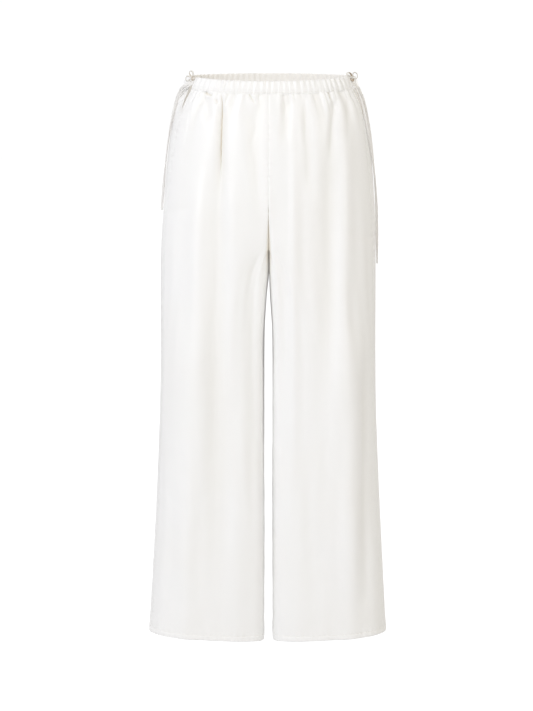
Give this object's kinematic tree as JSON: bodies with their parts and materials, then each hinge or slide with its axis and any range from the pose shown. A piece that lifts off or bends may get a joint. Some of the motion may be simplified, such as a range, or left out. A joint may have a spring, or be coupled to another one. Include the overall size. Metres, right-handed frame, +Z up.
{
  "type": "side tie pants",
  "caption": "Full-length wide-leg satin trousers with a gathered casing at the waist and a short tied vent at each side, held open and hollow as if worn.",
  "frame": {"origin": "centre of the waist ring, level with the casing's top edge at the sides", "axes": "+Z up along the wearer's body, -Y to the wearer's front, +X to the wearer's left"},
  "size_m": [0.4512, 0.2578, 1.0591],
  "materials": {
    "satin": "ivory satin, soft sheen",
    "tie": "ivory satin, soft sheen"
  },
  "bodies": {
    "root": {"front_left": "satin", "front_right": "satin", "back_left": "satin", "back_right": "satin", "waistband_front": "satin", "waistband_back": "satin", "tie_left_knot": "tie", "tie_left_loop_front": "tie", "tie_left_loop_back": "tie", "tie_left_tail_front": "tie", "tie_left_tail_back": "tie", "tie_right_knot": "tie", "tie_right_loop_front": "tie", "tie_right_loop_back": "tie", "tie_right_tail_front": "tie", "tie_right_tail_back": "tie"}
  },
  "joints": []
}
